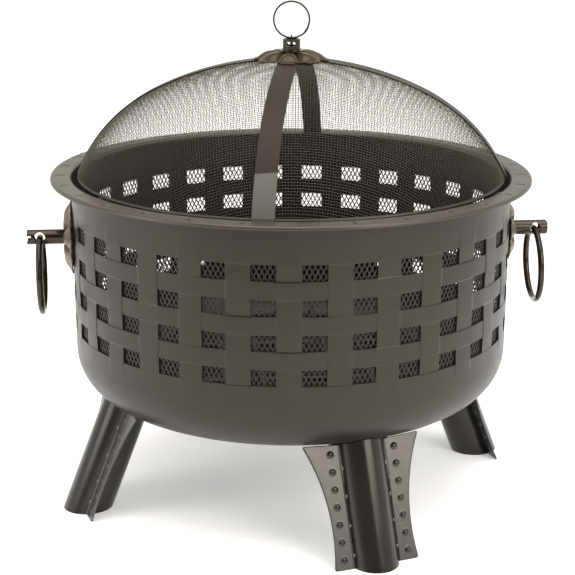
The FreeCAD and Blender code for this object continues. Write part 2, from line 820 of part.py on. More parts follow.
def make_cloth():
    """The wire cloth, as a thin closed dome."""
    inside = -S["dome_gauge"]
    hole = S["bolt_radius"]
    body = new_body("screen_mesh")
    profile = new_sketch(body, "XZ_Plane", "profile")
    draw_outline(profile, [
        (hole, dome_height(hole, inside), -(S["dome_crown"] + inside)),
        (*dome_join_point(inside), -(S["dome_knuckle"] + inside)),
        dome_edge_point(inside),
        (*dome_edge_point(0), S["dome_knuckle"]),
        (*dome_join_point(0), S["dome_crown"]),
        (hole, dome_height(hole, 0)),
    ])
    revolve(body, profile)
    return body


def arm_corners(near, far):
    """A strap's section from the join of the dome's curves to its foot at the rim wire, and back."""
    foot = S["hoop_height"] - S["hoop_wire"]
    return [
        (*dome_join_point(near), -(S["dome_knuckle"] + near)),
        dome_edge_point(near),
        (dome_edge_point(near)[0], foot),
        (dome_edge_point(far)[0], foot),
        (*dome_edge_point(far), S["dome_knuckle"] + far),
        (*dome_join_point(far), S["dome_crown"] + far),
    ]


def strap_place(turn):
    return turn_z(S["strap_angle"].number + turn)


strap_near = as_size(0.1)
strap_far = strap_near + S["strap_gauge"]


def make_long_strap():
    """The strap that runs over the top of the dome from edge to edge."""
    right = arm_corners(strap_near, strap_far)
    left = mirrored(right)[:-1]
    across, up = dome_join_point(strap_near)
    body = new_body("long_strap")
    profile = new_sketch(body, "XZ_Plane", "profile")
    draw_outline(profile, right + left + [(-across, up, -(S["dome_crown"] + strap_near))])
    pad(body, profile, S["strap_width"], both_ways=True)
    hole = new_sketch(body, "XY_Plane", "hole")
    draw_circle(hole, 0, 0, S["bolt_radius"])
    cut(body, hole, "bolt_hole", backwards=True)
    body.Placement = strap_place(0)
    return body


def make_short_strap(name, turn):
    """A strap from under the cap, beside the long strap, down to the rim wire."""
    start = S["strap_width"] / 2 + 0.3
    body = new_body(name)
    profile = new_sketch(body, "XZ_Plane", "profile")
    top = [(start, dome_height(start, strap_near), -(S["dome_crown"] + strap_near))]
    end = [(start, dome_height(start, strap_far))]
    draw_outline(profile, top + arm_corners(strap_near, strap_far) + end)
    pad(body, profile, S["strap_width"], both_ways=True)
    body.Placement = strap_place(turn)
    return body


def make_post():
    """A short tube on the cap with a cross slot, through which the eye bolt shows."""
    outer = S["post_radius"]
    bore = outer - S["post_gauge"]
    tall = S["post_height"]
    web = S["post_gauge"] * 0.7
    rounding = S["post_gauge"] * 0.3
    clearance = S["eye_shank"] + 2 * FIT
    body = new_body("lift_post")
    profile = new_sketch(body, "XZ_Plane", "profile")
    draw_outline(profile, [
        (clearance, 0),
        (outer, 0),
        (outer, tall - rounding, rounding),
        (outer - rounding, tall),
        (bore, tall),
        (bore, web),
        (clearance, web),
    ])
    revolve(body, profile)
    slot = new_sketch(body, "YZ_Plane", "slot")
    end = S["post_slot_radius"]
    tip = S["post_slot_half"]
    middle = S["post_slot_height"]
    draw_outline(slot, [
        (end - tip, middle - end),
        (tip - end, middle - end, end),
        (tip, middle, end),
        (tip - end, middle + end),
        (end - tip, middle + end, end),
        (-tip, middle, end),
    ])
    cut(body, slot, "cross_slot", both_ways=True)
    return body


def make_eye_bolt():
    """The bolt that clamps the cap, with an eye on its upper end for the lift ring."""
    shank = S["eye_shank"]
    low = S["dome_top"] - 9
    high = S["eye_height"] - S["eye_radius"]
    body = new_body("eye_bolt")
    profile = new_sketch(body, "XZ_Plane", "profile")
    draw_outline(profile, box_corners(0, shank, low, high))
    revolve(body, profile)
    eye = body.newObject("PartDesign::AdditiveTorus", "eye_bolt_eye")
    bind(eye, Radius1=S["eye_radius"], Radius2=S["eye_wire"])
    eye.Placement = Placement(Vector(0, 0, S["eye_height"].number), Rotation(Vector(1, 0, 0), 90))
    body.Tip = eye
    body.Placement = strap_place(0)
    return body


def make_screen():
    disc_base = S["cap_base"].number + S["rosette_shoulder"].number + 0.4
    post_base = disc_base + S["disc_gauge"].number + FIT
    cap = make_rosette("screen_cap")
    cap.Placement = strap_place(0) * shift(0, 0, S["cap_base"].number)
    disc = make_washer("cap_disc", S["disc_radius"], S["bolt_radius"], S["disc_gauge"])
    disc.Placement = shift(0, 0, disc_base)
    post = make_post()
    post.Placement = strap_place(0) * shift(0, 0, post_base)
    rim = doc.addObject("Part::Torus", "screen_rim")
    bind(rim, Radius1=S["hoop_radius"], Radius2=S["hoop_wire"])
    rim.Placement = shift(0, 0, S["hoop_height"].number)
    bore = S["eye_shank"] + FIT
    washer_base = (S["dome_top"] - S["dome_gauge"]).number - 2 * FIT - WASHER_GAUGE
    washer = make_washer("eye_washer", 3.5 * S["eye_shank"], bore, as_size(WASHER_GAUGE))
    washer.Placement = shift(0, 0, washer_base)
    nut_tall = 1.6 * S["eye_shank"]
    nut = make_nut("eye_nut", bore, nut_tall)
    nut.Placement = shift(0, 0, washer_base - FIT - nut_tall.number)
    lift_ring = doc.addObject("Part::Torus", "lift_ring")
    bind(lift_ring, Radius1=S["lift_radius"], Radius2=S["lift_wire"])
    ring_middle = (S["eye_height"] + S["lift_radius"]).number
    lift_ring.Placement = strap_place(0) * shift(0, 0, ring_middle) * turn_y(90)
    straps = [make_long_strap(), make_short_strap("left_strap", 90), make_short_strap("right_strap", -90)]
    return [make_cloth(), rim, *straps, cap, disc, post, make_eye_bolt(), washer, nut, lift_ring]


# ---------------------------------------------------------------- log grate


def make_bar(name, middle, half_length, along_y):
    rod = doc.addObject("Part::Cylinder", name)
    bind(rod, Radius=S["bar_wire"], Height=2 * half_length)
    lying = Rotation(Vector(1, 0, 0), -90) if along_y else Rotation(Vector(0, 1, 0), 90)
    back = Vector(0, -half_length.number, 0) if along_y else Vector(-half_length.number, 0, 0)
    rod.Placement = Placement(middle + back, lying)
    return rod


def chord(offset):
    return root(S["grate_radius"] * S["grate_radius"] - offset * offset)


def make_grate():
    hoop = doc.addObject("Part::Torus", "grate_hoop")
    bind(hoop, Radius1=S["grate_radius"], Radius2=S["grate_wire"])
    hoop.Placement = shift(0, 0, S["grate_height"].number)
    step = (S["grate_wire"] + S["bar_wire"]).number + FIT
    top = S["grate_height"].number + step
    bottom = S["grate_height"].number - step
    rods = []
    for index in range(BAR_COUNT):
        offset = S["bar_pitch"] * (index - (BAR_COUNT - 1) / 2)
        rods.append(make_bar(f"grate_bar_{index + 1}", Vector(offset.number, 0, top), chord(offset), True))
    bars = doc.addObject("Part::Compound", "grate_bars")
    bars.Links = rods
    braces = []
    for index, side in enumerate((-1, 1)):
        offset = 1.6 * S["bar_pitch"] * side
        middle = Vector(0, offset.number, bottom)
        braces.append(make_bar(f"grate_brace_{index + 1}", middle, chord(offset), False))
    cross = doc.addObject("Part::Compound", "grate_braces")
    cross.Links = braces

    wire = S["grate_wire"]
    floor = bowl_floor(S["grate_radius"] + wire, -S["bowl_gauge"]) + S["foot_clearance"]
    foot = new_body("grate_foot_pattern")
    profile = new_sketch(foot, "XZ_Plane", "profile")
    draw_outline(profile, [
        (0, floor, wire),
        (wire, floor + wire),
        (wire, S["grate_height"] - 1.2 * wire),
        (0, S["grate_height"] - 1.2 * wire),
    ])
    revolve(foot, profile)
    spots = [turn_z(45 + 90 * index) * shift(S["grate_radius"].number, 0, 0) for index in range(4)]
    return [hoop, bars, cross, copies("grate_feet", foot, spots)]


# ---------------------------------------------------------------- whole assembly

pieces = [make_bowl(), make_liner(), make_clips()]
for leg in range(LEG_COUNT):
    pieces += [make_leg_tube(leg), make_top_plate(leg)]
    pieces += [make_wing(leg, -1, "left"), make_wing(leg, 1, "right")]
pieces += make_leg_fasteners()
pieces += make_handles()
pieces += make_handle_fasteners()
pieces += make_screen()
pieces += make_grate()
doc.recompute()

for item in doc.Objects:
    if "Invalid" in item.State or "Error" in item.State:
        raise RuntimeError(f"{item.Name} did not recompute: {item.State}")
for piece in pieces:
    if piece.Shape.isNull() or not piece.Shape.isValid() or not piece.Shape.Solids:
        raise RuntimeError(f"{piece.Label} has no valid solid")

os.makedirs("parts", exist_ok=True)
for piece in pieces:
    piece.Shape.exportStep(os.path.join("parts", f"{piece.Label}.step"))
print(f"{len(pieces)} sub-parts written")
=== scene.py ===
import math
import random

import bpy
from mathutils import Matrix, Vector


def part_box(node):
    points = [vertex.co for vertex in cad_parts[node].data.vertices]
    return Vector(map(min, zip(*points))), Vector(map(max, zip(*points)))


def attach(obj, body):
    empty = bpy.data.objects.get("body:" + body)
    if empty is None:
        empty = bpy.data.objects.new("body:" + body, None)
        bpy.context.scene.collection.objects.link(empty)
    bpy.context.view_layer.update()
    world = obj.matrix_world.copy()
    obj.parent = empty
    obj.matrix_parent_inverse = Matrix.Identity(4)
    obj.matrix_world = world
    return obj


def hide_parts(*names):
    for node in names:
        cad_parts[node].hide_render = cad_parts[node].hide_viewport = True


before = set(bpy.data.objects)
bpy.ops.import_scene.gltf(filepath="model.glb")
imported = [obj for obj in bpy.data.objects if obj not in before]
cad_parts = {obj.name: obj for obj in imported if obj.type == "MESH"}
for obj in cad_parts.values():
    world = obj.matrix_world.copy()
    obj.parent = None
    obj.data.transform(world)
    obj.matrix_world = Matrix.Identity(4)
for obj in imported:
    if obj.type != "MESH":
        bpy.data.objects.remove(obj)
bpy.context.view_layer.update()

# Lengths are millimetres and angles are degrees until a mesh is made.
MM = 0.001

# ---------------------------------------------------------------- sizes

BOWL_WALL = 302
BOWL_GAUGE = 1.2
KNUCKLE = 68
KNUCKLE_HEIGHT = 214
BOWL_CROWN = 1667
RIM_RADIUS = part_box("fire_bowl")[1].x / MM
RIM_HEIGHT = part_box("fire_bowl")[1].z / MM
LIP_FOOT = 450

WINDOW_TURN = 12
WINDOW_WIDTH = 31.4
WINDOW_TALL = 21.2
WINDOW_PITCH = 44.75
WINDOW_TOP = 389.9
WINDOW_ROWS = 4

LEG_START = 15.5
LEG_TURN = 90
LEG_SPLAY = 22
LEG_REACH = 301.5
TUBE_RADIUS = 32
WING_FACE = 10.5
WING_GAUGE = 1.6

HANDLE_HEIGHT = 367
HANDLE_X = 347.5
RING_RADIUS = 51.5
RING_WIRE = 4.5
RING_TOP = 365
RING_TWIST = {-1: 0, 1: -2.2}
RING_LEAN = {-1: -0.5, 1: -2}

DOME_TOP = 608.5
DOME_CROWN = 420
DOME_KNUCKLE = 227
DOME_JOIN = 26.8
DOME_EDGE = 455.6

STRAP_TURN = 77.8
CAP_BASE = 607.5
EYE_HEIGHT = 636.9
LIFT_RADIUS = 24.25
LIFT_WIRE = 1.25

# ---------------------------------------------------------------- materials


class Nodes:
    """A material's node tree with short calls to add and link nodes."""

    def __init__(self, name):
        self.material = bpy.data.materials.new(name)
        self.material.use_nodes = True
        self.tree = self.material.node_tree
        self.shader = self.tree.nodes["Principled BSDF"]
        self.place = self.tree.nodes.new("ShaderNodeTexCoord").outputs["Object"]

    def add(self, kind, inputs=(), **settings):
        node = self.tree.nodes.new(kind)
        for key, value in settings.items():
            setattr(node, key, value)
        for key, value in dict(inputs).items():
            if isinstance(value, bpy.types.NodeSocket):
                self.tree.links.new(value, node.inputs[key])
            else:
                node.inputs[key].default_value = value
        return node

    def noise(self, scale, detail=4, rough=0.55, place=None):
        inputs = {"Vector": place or self.place, "Scale": scale, "Detail": detail, "Roughness": rough}
        return self.add("ShaderNodeTexNoise", inputs).outputs["Fac"]

    def stretched(self, x, y, z):
        return self.add("ShaderNodeMapping", {"Vector": self.place, "Scale": (x, y, z)}).outputs[0]

    def spread(self, value, low, high, start=0.3, end=0.7):
        """A number that goes from low to high as value goes from start to end."""
        inputs = {"Value": value, "From Min": start, "From Max": end, "To Min": low, "To Max": high}
        return self.add("ShaderNodeMapRange", inputs).outputs["Result"]

    def mix(self, factor, first, second):
        node = self.tree.nodes.new("ShaderNodeMix")
        node.data_type = "RGBA"
        for socket, value in ((node.inputs[0], factor), (node.inputs[6], first), (node.inputs[7], second)):
            if isinstance(value, bpy.types.NodeSocket):
                self.tree.links.new(value, socket)
            else:
                socket.default_value = value
        return node.outputs[2]

    def link(self, name, value):
        self.tree.links.new(value, self.shader.inputs[name])

    def bump(self, height, strength, depth, under=None):
        inputs = {"Height": height, "Strength": strength, "Distance": depth}
        if under:
            inputs["Normal"] = under
        return self.add("ShaderNodeBump", inputs).outputs["Normal"]


WARM = (1, 0.94, 0.87, 1)

# The strap's front foot is painted lighter and greyer than the rest, a painted reflection: a direction that rises
# from it, and where it ends.
SHEEN_FOOT_RISE = (0, 0.5, 1)
SHEEN_FOOT_START = 0.377


def shade(colour, factor):
    return (*(channel * factor for channel in colour), 1)


def metal_finish(name, colour, gloss, metallic=0.0, peel=0.12, vary=0.06, shine=0.5, low=None):
    """Paint or plating: slightly cloudy colour, uneven gloss and a fine orange peel, with a painted reflection on a
    strap's foot when given.
    """
    nodes = Nodes(name)
    cloud = nodes.noise(14, detail=6)
    fine = nodes.noise(420, detail=3)
    tone = nodes.mix(nodes.spread(cloud, 0, 1), shade(colour, 1 - vary), shade(colour, 1 + vary))
    tone = nodes.mix(nodes.spread(fine, 0, 0.3), tone, shade(colour, 0.85))
    # A lighter, greyer colour below a line across the strap: a painted reflection on its front foot.
    if low:
        along = nodes.add("ShaderNodeVectorMath", {0: nodes.place, 1: SHEEN_FOOT_RISE}, operation="DOT_PRODUCT")
        share = nodes.spread(along.outputs["Value"], 1, 0, SHEEN_FOOT_START - 0.002, SHEEN_FOOT_START)
        tone = nodes.mix(share, tone, shade(low, 1))
    nodes.link("Base Color", tone)
    rough = nodes.noise(45, detail=5)
    nodes.link("Roughness", nodes.spread(rough, gloss - 0.03, gloss + 0.04))
    surface = nodes.bump(nodes.noise(1500, detail=2), peel, 0.0001)
    nodes.link("Normal", surface)
    nodes.shader.inputs["Metallic"].default_value = metallic
    nodes.shader.inputs["Specular IOR Level"].default_value = shine
    nodes.shader.inputs["Specular Tint"].default_value = WARM
    return nodes.material


paint = metal_finish("bowl_paint", (0.014, 0.011, 0.0085), 0.36, peel=0.1, shine=0.39)
# The flange is the same painted sheet as the wall, given a lighter copy of its paint: painted light.
rim_paint_painted_light = metal_finish("rim_paint_painted_light", (0.036, 0.029, 0.0225), 0.34, peel=0.1)
# The wings are coloured lighter and greyer than the legs' paint: a painted reflection of the broad light on the flat
# plates.
wing_paint_painted_sheen = metal_finish("wing_paint_painted_sheen", (0.03, 0.0295, 0.03), 0.27, shine=0.75)
leg_paint = metal_finish("leg_paint", (0.015, 0.013, 0.0115), 0.19, shine=0.42)
pip_paint = metal_finish("pip_paint", (0.012, 0.011, 0.01), 0.16)
# Light grey for the tack welds, and a painted highlight for the light lines along the wings' inner edges.
weld_and_sheen_metal = metal_finish("weld_and_sheen_metal", (0.25, 0.235, 0.22), 0.35)
mesh_black = metal_finish("mesh_black", (0.035, 0.03, 0.024), 0.38, peel=0.05)
liner_black = metal_finish("liner_black", (0.02, 0.017, 0.014), 0.42, peel=0.05, shine=0.35)
warp_wire = metal_finish("warp_wire", (0.02, 0.017, 0.014), 0.42, peel=0.05, shine=0.35)
# The weft is the same wire as the warp, coloured lighter: a painted sheen of the light that the cross wires catch.
weft_wire_painted_sheen = metal_finish("weft_wire_painted_sheen", (0.085, 0.075, 0.06), 0.4, peel=0.05)
# The front foot of the strap is painted lighter and greyer: a painted reflection.
strap_bronze = metal_finish("strap_bronze", (0.02, 0.0145, 0.0105), 0.4, shine=0.13, low=(0.09, 0.087, 0.08))
antique = metal_finish("antique_bronze", (0.034, 0.025, 0.013), 0.22, metallic=0.6, shine=0.35)
rosette_bronze = metal_finish("rosette_bronze", (0.128, 0.112, 0.09), 0.34, metallic=0.6)
gunmetal = metal_finish("gunmetal", (0.03, 0.023, 0.018), 0.16, metallic=0.5, peel=0.05)
zinc = metal_finish("fastener_zinc", (0.3, 0.29, 0.27), 0.3, metallic=0.9)
iron = metal_finish("grate_iron", (0.022, 0.021, 0.02), 0.55, peel=0.35, vary=0.15)

# ---------------------------------------------------------------- mesh helpers


def piece(name, points, faces, body, finish, stands_for=(), sharp=40):
    """A mesh object from points in millimetres, smooth but for edges sharper than an angle."""
    used = sorted({corner for face in faces for corner in face})
    number = {old: new for new, old in enumerate(used)}
    mesh = bpy.data.meshes.new(name)
    places = [tuple(value * MM for value in points[old]) for old in used]
    mesh.from_pydata(places, [], [[number[corner] for corner in face] for face in faces])
    mesh.validate()
    mesh.shade_smooth()
    mesh.set_sharp_from_angle(angle=math.radians(sharp))
    mesh.materials.append(finish)
    made = bpy.data.objects.new(name, mesh)
    bpy.context.scene.collection.objects.link(made)
    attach(made, body)
    if stands_for:
        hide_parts(*stands_for)
    return made


def grid(rows, columns, around=False, hole=None):
    """Faces of a grid of points stored row by row, closed round its columns if it goes around."""
    faces = []
    for row in range(rows - 1):
        for column in range(columns if around else columns - 1):
            if hole and hole(row, column):
                continue
            after = (column + 1) % columns
            low, high = row * columns, (row + 1) * columns
            faces.append((low + column, low + after, high + after, high + column))
    return faces


def sheet(front, back, faces):
    """A closed skin of sheet metal from its front points, the matching back points and front faces."""
    count = len(front)
    skin = list(faces)
    skin += [tuple(count + corner for corner in reversed(face)) for face in faces]
    sides = {(a, b) for face in faces for a, b in zip(face, face[1:] + face[:1])}
    skin += [(b, a, count + a, count + b) for a, b in sorted(sides) if (b, a) not in sides]
    return front + back, skin


def wire(path, radius, ups, sides=4, closed=False, points=None, faces=None):
    """Adds a wire along a path, with a side of its section towards ups, to points and faces."""
    points = [] if points is None else points
    faces = [] if faces is None else faces
    start = len(points)
    count = len(path)
    for index, middle in enumerate(path):
        before = path[index - 1] if index or closed else middle
        after = path[(index + 1) % count] if closed or index + 1 < count else middle
        ahead = (after - before).normalized()
        across = ahead.cross(ups[index]).normalized()
        up = across.cross(ahead)
        thick = radius[index] if isinstance(radius, list) else radius
        for side in range(sides):
            angle = math.tau * side / sides
            points.append(middle + thick * (math.cos(angle) * up + math.sin(angle) * across))
    rings = count if closed else count - 1
    for ring in range(rings):
        low = start + ring * sides
        high = start + (ring + 1) % count * sides
        for side in range(sides):
            after = (side + 1) % sides
            faces.append((low + side, low + after, high + after, high + side))
    if not closed:
        faces.append(tuple(start + side for side in reversed(range(sides))))
        faces.append(tuple(start + (count - 1) * sides + side for side in range(sides)))
    return points, faces


def polar(radius, angle, height):
    return Vector((radius * math.cos(math.radians(angle)), radius * math.sin(math.radians(angle)), height))


def smooth(value):
    value = min(max(value, 0), 1)
    return value * value * (3 - 2 * value)


def placed(points, matrix):
    return [matrix @ Vector(point) for point in points]


# ---------------------------------------------------------------- bowl

STRIP_EDGE = WINDOW_TURN / 2 - math.degrees(math.asin(WINDOW_WIDTH / 2 / BOWL_WALL))
STEP_TURN = 0.08
STEP_TALL = 0.4
FLOAT_TOP = 0.28
FLOAT_LOW = -0.2
PILLOW = 0.08
BAND_TALL = WINDOW_PITCH - WINDOW_TALL
FADE_TALL = 19

STRIP_COLUMNS = [-STRIP_EDGE + STEP_TURN, -2.55, -1.7, -0.6, 0.6, 1.7, 2.55, STRIP_EDGE - STEP_TURN]
GAP_COLUMNS = [STRIP_EDGE, 3.5, 4.3, 5.4, 6.6, 7.7, 8.5, WINDOW_TURN - STRIP_EDGE]
WINDOW_STEPS = [0, 1.5, 5, 10.6, 16.2, 19.7, 21.2]
BAND_STEPS = [STEP_TALL, 1.6, 4, 8]
BAND_STEPS += [BAND_TALL / 2] + [BAND_TALL - step for step in reversed(BAND_STEPS)]
EDGE_STEPS = [STEP_TALL, 1.6, 4, 8, 13, FADE_TALL]


def float_height(share):
    """Height of a woven strip over the plain wall, from the middle of a float to its end."""
    return FLOAT_TOP + (FLOAT_LOW - FLOAT_TOP) * smooth((share - 0.42) / 0.58)


def window_middle(row):
    return WINDOW_TOP - WINDOW_PITCH * row


def band_middle(band):
    return WINDOW_TOP + WINDOW_PITCH / 2 - WINDOW_PITCH * band


def upright_height(band, height, across):
    """A vertical strip where it passes over a band, or fades out above and below the weave."""
    off = abs(height - band_middle(band))
    raised = float_height(off / (BAND_TALL / 2 + WINDOW_TALL))
    outside = abs(height - (window_middle(0) + window_middle(WINDOW_ROWS - 1)) / 2)
    outside -= WINDOW_PITCH * (WINDOW_ROWS - 1) / 2 + WINDOW_TALL / 2
    if outside > 0:
        return FLOAT_TOP * (1 - smooth(outside / FADE_TALL))
    return raised - PILLOW * (across / STRIP_EDGE) ** 4


def level_height(strip, turn, band, height):
    """A horizontal strip where it passes over a vertical one."""
    off = abs(turn - WINDOW_TURN * strip)
    edge = abs(height - band_middle(band)) / (BAND_TALL / 2)
    return float_height(off / (WINDOW_TURN - STRIP_EDGE)) - PILLOW * edge**4


def emboss(turn, height):
    """How far the woven wall stands out at an angle and a height."""
    strip = round(turn / WINDOW_TURN)
    across = turn - WINDOW_TURN * strip
    on_strip = abs(across) < STRIP_EDGE + 0.001
    place = (WINDOW_TOP + WINDOW_PITCH / 2 - height) / WINDOW_PITCH
    band = round(place)
    if abs(height - band_middle(band)) > BAND_TALL / 2 - 0.001 and 0 < place < WINDOW_ROWS:
        row = math.floor(place)
        over = row if (strip + row) % 2 == 0 else row + 1
        if on_strip:
            return upright_height(over, height, across)
        if band in (0, WINDOW_ROWS):
            return 0
        beside = strip if (strip + band) % 2 else strip + (1 if across > 0 else -1)
        return level_height(beside, turn, band, height)
    if (band <= 0 or band >= WINDOW_ROWS) and not (on_strip and (strip + band) % 2 == 0):
        return 0
    if on_strip and abs(across) < STRIP_EDGE - STEP_TURN / 2 and (strip + band) % 2 == 0:
        return upright_height(band, height, across) if 0 <= band <= WINDOW_ROWS else 0
    if band <= 0 or band >= WINDOW_ROWS:
        return 0
    beside = strip if (strip + band) % 2 else strip + (1 if across > 0 else -1)
    return level_height(beside, turn, band, height)


def bowl_profile():
    """The bowl's outer skin from the bottom to the flange: reach, height, outward direction, window."""
    crown_middle = KNUCKLE_HEIGHT + math.sqrt((BOWL_CROWN - KNUCKLE) ** 2 - (BOWL_WALL - KNUCKLE) ** 2)
    lean = math.asin((BOWL_WALL - KNUCKLE) / (BOWL_CROWN - KNUCKLE))
    profile = []
    for step in range(1, 12):
        angle = lean * step / 12
        reach, height = BOWL_CROWN * math.sin(angle), crown_middle - BOWL_CROWN * math.cos(angle)
        profile.append((reach, height, math.sin(angle), -math.cos(angle), False))
    for step in range(15):
        angle = lean + (math.pi / 2 - lean) * step / 15
        reach = BOWL_WALL - KNUCKLE + KNUCKLE * math.sin(angle)
        profile.append((reach, KNUCKLE_HEIGHT - KNUCKLE * math.cos(angle), math.sin(angle), -math.cos(angle), False))
    heights = [(KNUCKLE_HEIGHT, False), (220, False)]
    foot = window_middle(WINDOW_ROWS - 1) - WINDOW_TALL / 2
    heights += [(foot - step, False) for step in reversed(EDGE_STEPS)]
    for row in reversed(range(WINDOW_ROWS)):
        sill = window_middle(row) - WINDOW_TALL / 2
        heights += [(sill + step, step < WINDOW_TALL) for step in WINDOW_STEPS]
        if row:
            heights += [(sill + WINDOW_TALL + step, False) for step in BAND_STEPS]
    head = WINDOW_TOP + WINDOW_TALL / 2
    heights += [(head + step, False) for step in EDGE_STEPS] + [(435, False), (LIP_FOOT, False)]
    profile += [(BOWL_WALL, height, 1, 0, window) for height, window in heights]
    return profile, crown_middle - BOWL_CROWN


def make_bowl():
    profile, bottom = bowl_profile()
    turns = []
    for strip in range(360 // WINDOW_TURN):
        turns += [strip * WINDOW_TURN + column for column in STRIP_COLUMNS + GAP_COLUMNS]
    front, back = [], []
    for reach, height, out, up, _ in profile:
        for turn in turns:
            raised = emboss(turn, height) if out == 1 else 0
            front.append(polar(reach + raised, turn, height))
            inward = reach + raised - BOWL_GAUGE * out
            back.append(polar(inward, turn, height - BOWL_GAUGE * up))
    period = len(STRIP_COLUMNS) + len(GAP_COLUMNS)

    def is_window(row, column):
        place = column % period
        return profile[row][4] and len(STRIP_COLUMNS) <= place < period - 1

    faces = grid(len(profile), len(turns), around=True, hole=is_window)
    middle = len(front)
    front.append(Vector((0, 0, bottom)))
    back.append(Vector((0, 0, bottom + BOWL_GAUGE)))
    faces += [((column + 1) % len(turns), column, middle) for column in range(len(turns))]
    points, skin = sheet(front, back, faces)
    piece("bowl_wall", points, skin, "fire_pit", paint, ["fire_bowl"], sharp=50)


DENT_MIDDLE = 316.5
DENT_HALF = 7.5
DENT_WIDE = 2.6
DENT_DEEP = 2.5
DENT_SHIFT = 2
BEND = 4


def flange_profile():
    """The flange's lower skin from the wall to the lip's foot: reach, height, outward direction."""
    under = RIM_HEIGHT - BOWL_GAUGE
    lip = RIM_RADIUS - BOWL_GAUGE
    fold = 2.2
    profile = [(BOWL_WALL, LIP_FOOT, 1, 0)]
    for step in range(7):
        angle = math.radians(90 * step / 6)
        reach = BOWL_WALL + BEND * (1 - math.cos(angle))
        profile.append((reach, under - BEND + BEND * math.sin(angle), math.cos(angle), -math.sin(angle)))
    profile[1] = (BOWL_WALL, under - BEND + 0.01, 1, 0)
    profile += [(reach, under, 0, -1) for reach in (308, 309.5, 311, 313, 315, 316.5, 318, 320, 322, 323.5, 325)]
    for step in range(6):
        angle = math.radians(90 * step / 5)
        reach = lip - fold + fold * math.sin(angle)
        profile.append((reach, under - fold + fold * math.cos(angle), -math.sin(angle), -math.cos(angle)))
    profile.append((lip, LIP_FOOT, -1, 0))
    return profile


def dent(reach, off):
    """Depth of a lens-shaped dent across the flange."""
    along = (reach - DENT_MIDDLE) / DENT_HALF
    wide = DENT_WIDE * (1 - along * along)
    if wide <= 0 or abs(off) >= wide:
        return 0
    return DENT_DEEP * (1 - along * along) * (1 - (abs(off) / wide) ** 2)


def make_flange():
    profile = flange_profile()
    steps = [-5, -3, -1.5, -0.6, -0.4, -0.26, -0.13, 0, 0.13, 0.26, 0.4, 0.6, 1.5, 3, 5]
    turns = [(index * WINDOW_TURN + DENT_SHIFT + step, step) for index in range(30) for step in steps]
    front, back = [], []
    for reach, height, out, up in profile:
        for turn, step in turns:
            sunk = dent(reach, math.radians(step) * reach) if up == -1 and out == 0 else 0
            front.append(polar(reach, turn, height - sunk))
            back.append(polar(reach - BOWL_GAUGE * out, turn, height - BOWL_GAUGE * up - sunk))
    faces = grid(len(profile), len(turns), around=True)
    points, skin = sheet(front, back, faces)
    piece("bowl_flange", points, skin, "fire_pit", rim_paint_painted_light, ["fire_bowl"], sharp=50)


# ---------------------------------------------------------------- mesh liner

LINER_RADIUS = 298.6
LINER_FOOT = 235
LINER_HEAD = 410
DIAMONDS_AROUND = 276
DIAMOND_TALL = 12.5
STRAND = 1.55
STRAND_THICK = 0.8
STRAND_LEAN = 0.35


def make_liner():
    """Expanded metal: a band of diamond holes whose strands lean, as slit and stretched sheet does."""
    half_turn = 180 / DIAMONDS_AROUND
    half_tall = DIAMOND_TALL / 2
    wide = math.radians(half_turn) * LINER_RADIUS
    side = math.hypot(wide, half_tall)
    short = 1 - STRAND / 2 * side / (wide * half_tall)
    rows = round((LINER_HEAD - LINER_FOOT) / half_tall)
    corners = ((0, -1), (1, 0), (0, 1), (-1, 0))
    front, back, faces, known = [], [], [], {}

    def add(reach, turn, height):
        front.append(polar(reach + STRAND_THICK / 2, turn, height))
        back.append(polar(reach - STRAND_THICK / 2, turn, height))
        return len(front) - 1

    for row in range(rows - 1):
        for column in range(DIAMONDS_AROUND):
            turn = (2 * column + row % 2) * half_turn
            height = LINER_FOOT + half_tall * (row + 1)
            outer, inner = [], []
            for right, up in corners:
                key = ((2 * column + row % 2 + right) % (2 * DIAMONDS_AROUND), row + 1 + up)
                if key not in known:
                    known[key] = add(LINER_RADIUS, turn + right * half_turn, height + up * half_tall)
                outer.append(known[key])
                lean = STRAND_LEAN * up
                inner.append(add(LINER_RADIUS + lean, turn + right * half_turn * short, height + up * half_tall * short))
            for a, b in ((0, 1), (1, 2), (2, 3), (3, 0)):
                faces.append((outer[a], outer[b], inner[b], inner[a]))
    points, skin = sheet(front, back, faces)
    piece("expanded_liner", points, skin, "fire_pit", liner_black, ["mesh_liner"], sharp=30)


# ---------------------------------------------------------------- spark screen

CLOTH_PITCH = 4
CLOTH_WIRE = 0.25
CLOTH_TURN = -6
CLOTH_SINK = 0.4
CLOTH_SLACK = 0.3


def dome(reach_along):
    """A point and direction of the dome's profile, a distance along it from the top."""
    crown = DOME_CROWN - CLOTH_SINK
    knuckle = DOME_KNUCKLE - CLOTH_SINK
    join = math.radians(DOME_JOIN)
    if reach_along < crown * join:
        angle = reach_along / crown
        return crown * math.sin(angle), DOME_TOP - DOME_CROWN + crown * math.cos(angle), angle
    angle = join + (reach_along - crown * join) / knuckle
    gap = DOME_CROWN - DOME_KNUCKLE
    reach = gap * math.sin(join) + knuckle * math.sin(angle)
    return reach, DOME_TOP - DOME_CROWN + gap * math.cos(join) + knuckle * math.cos(angle), angle


def dome_length():
    """The profile's length from the top to the lower edge."""
    join = math.radians(DOME_JOIN)
    middle = DOME_TOP - DOME_CROWN + (DOME_CROWN - DOME_KNUCKLE) * math.cos(join)
    knuckle = DOME_KNUCKLE - CLOTH_SINK
    edge = math.acos((DOME_EDGE - middle) / knuckle)
    return (DOME_CROWN - CLOTH_SINK) * join + knuckle * (edge - join)


def draped(across, along, raised):
    """Where a point of the flat cloth lies once it is pressed over the dome."""
    far = math.hypot(across, along)
    reach, height, lean = dome(far)
    angle = math.degrees(math.atan2(along, across)) + CLOTH_TURN
    out = polar(math.sin(lean), angle, math.cos(lean))
    return polar(reach, angle, height) + raised * out, out


